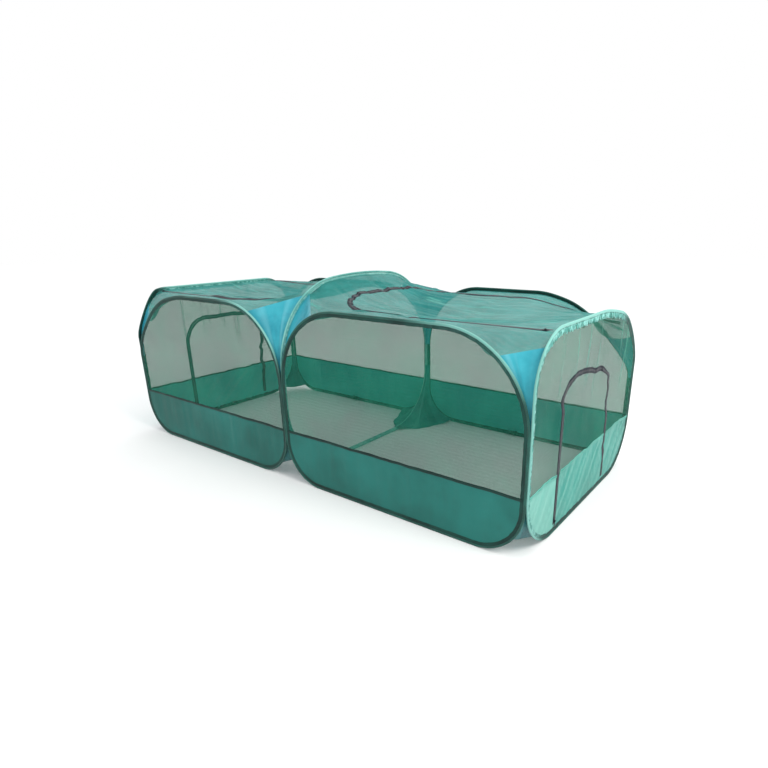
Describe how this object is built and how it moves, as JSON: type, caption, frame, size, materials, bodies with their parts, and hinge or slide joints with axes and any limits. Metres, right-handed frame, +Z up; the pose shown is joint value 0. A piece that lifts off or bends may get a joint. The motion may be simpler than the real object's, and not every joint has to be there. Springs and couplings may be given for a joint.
{
  "type": "pop-up pet run pen",
  "caption": "Two-cell pop-up mesh run pen with spring hoops, a middle arch, closed kick band, zipped end doors and zipped roof hatches.",
  "frame": {"origin": "on the floor under the middle of the pen", "axes": "+X along the pen to its right end, -Y the front wall, +Z up"},
  "size_m": [2.1932, 1.0226, 0.8249],
  "materials": {
    "spring_steel": "bright drawn spring wire",
    "ferrule_steel": "crimped plated tube",
    "binding_tape": "woven polyester binding, dark green with a pale aqua edge",
    "edge_tape": "dark green woven tape",
    "kick_cloth": "coated polyester cloth, teal",
    "mesh_cloth": "fine polyester netting, teal green",
    "zip_tape": "dark navy zip tape with coil",
    "zip_metal": "dark enamelled zinc",
    "top_gusset_cloth": "light coated cloth, bright blue",
    "foot_gusset_cloth": "coated cloth, blue teal",
    "webbing": "dark webbing",
    "tie_cord": "dark elastic cord"
  },
  "bodies": {
    "pen": {"arch_hoop_wire": "spring_steel", "door_zip_left_end": "zip_tape", "door_zip_right_end": "zip_tape", "end_hoop_wires": "spring_steel", "foot_corner_gussets": "foot_gusset_cloth", "foot_middle_gussets": "foot_gusset_cloth", "hoop_binding_arch": "binding_tape", "hoop_binding_front_left": "binding_tape", "hoop_binding_front_right": "binding_tape", "hoop_binding_left_end": "binding_tape", "hoop_binding_rear_left": "binding_tape", "hoop_binding_rear_right": "binding_tape", "hoop_binding_right_end": "binding_tape", "hoop_ferrules": "ferrule_steel", "kick_edge_tapes": "edge_tape", "kick_panel_front_left": "kick_cloth", "kick_panel_front_right": "kick_cloth", "kick_panel_left_end": "kick_cloth", "kick_panel_rear_left": "kick_cloth", "kick_panel_rear_right": "kick_cloth", "kick_panel_right_end": "kick_cloth", "long_hoop_wires": "spring_steel", "peg_loops_end_walls": "webbing", "peg_loops_long_walls": "webbing", "roof_mesh_left": "mesh_cloth", "roof_mesh_right": "mesh_cloth", "roof_zip_left": "zip_tape", "roof_zip_right": "zip_tape", "tie_loops": "tie_cord", "top_corner_gussets": "top_gusset_cloth", "top_middle_gussets": "top_gusset_cloth", "window_mesh_front_left": "mesh_cloth", "window_mesh_front_right": "mesh_cloth", "window_mesh_left_end": "mesh_cloth", "window_mesh_rear_left": "mesh_cloth", "window_mesh_rear_right": "mesh_cloth", "window_mesh_right_end": "mesh_cloth"},
    "left_door": {"door_flap_kick_left_end": "kick_cloth", "door_flap_mesh_left_end": "mesh_cloth", "door_flap_zip_left_end": "zip_tape"},
    "left_door_slider": {"door_zip_slider_left_end": "zip_metal"},
    "left_door_pull": {"door_zip_pull_left_end": "zip_metal"},
    "left_hatch": {"roof_hatch_mesh_left": "mesh_cloth", "roof_hatch_zip_left": "zip_tape"},
    "left_hatch_slider": {"roof_zip_slider_left": "zip_metal"},
    "left_hatch_pull": {"roof_zip_pull_left": "zip_metal"},
    "right_door": {"door_flap_kick_right_end": "kick_cloth", "door_flap_mesh_right_end": "mesh_cloth", "door_flap_zip_right_end": "zip_tape"},
    "right_door_slider": {"door_zip_slider_right_end": "zip_metal"},
    "right_door_pull": {"door_zip_pull_right_end": "zip_metal"},
    "right_hatch": {"roof_hatch_mesh_right": "mesh_cloth", "roof_hatch_zip_right": "zip_tape"},
    "right_hatch_slider": {"roof_zip_slider_right": "zip_metal"},
    "right_hatch_pull": {"roof_zip_pull_right": "zip_metal"}
  },
  "joints": [
    {"name": "left_door_hinge", "type": "hinge", "parent": "pen", "child": "left_door", "pos_m": [-1.0911, 0, 0.06], "axis": [0, -1, 0], "range_deg": [0, 90]},
    {"name": "left_door_zip", "type": "slide", "parent": "pen", "child": "left_door_slider", "axis": [0, 0, 1], "range_m": [0, 0.36]},
    {"name": "left_door_pull_hinge", "type": "hinge", "parent": "left_door_slider", "child": "left_door_pull", "pos_m": [-1.09495, -0.24, 0.043], "axis": [0, 1, 0], "range_deg": [0, 80]},
    {"name": "left_hatch_hinge", "type": "hinge", "parent": "pen", "child": "left_hatch", "pos_m": [-1.028, 0, 0.7132], "axis": [0, -1, 0], "range_deg": [0, 120]},
    {"name": "left_hatch_zip", "type": "slide", "parent": "pen", "child": "left_hatch_slider", "axis": [1, 0, -0.0034], "range_m": [0, 0.4]},
    {"name": "left_hatch_pull_hinge", "type": "hinge", "parent": "left_hatch_slider", "child": "left_hatch_pull", "pos_m": [-1.045, -0.355, 0.71674], "axis": [0, 1, 0], "range_deg": [0, 80]},
    {"name": "right_door_hinge", "type": "hinge", "parent": "pen", "child": "right_door", "pos_m": [1.0911, -0.03, 0.06], "axis": [0, 1, 0], "range_deg": [0, 90]},
    {"name": "right_door_zip", "type": "slide", "parent": "pen", "child": "right_door_slider", "axis": [0, 0, 1], "range_m": [0, 0.36]},
    {"name": "right_door_pull_hinge", "type": "hinge", "parent": "right_door_slider", "child": "right_door_pull", "pos_m": [1.09495, -0.27, 0.043], "axis": [0, -1, 0], "range_deg": [0, 80]},
    {"name": "right_hatch_hinge", "type": "hinge", "parent": "pen", "child": "right_hatch", "pos_m": [1.028, 0, 0.7132], "axis": [0, 1, 0], "range_deg": [0, 120]},
    {"name": "right_hatch_zip", "type": "slide", "parent": "pen", "child": "right_hatch_slider", "axis": [-1, 0, -0.0034], "range_m": [0, 0.4]},
    {"name": "right_hatch_pull_hinge", "type": "hinge", "parent": "right_hatch_slider", "child": "right_hatch_pull", "pos_m": [1.045, -0.355, 0.71674], "axis": [0, -1, 0], "range_deg": [0, 80]}
  ]
}
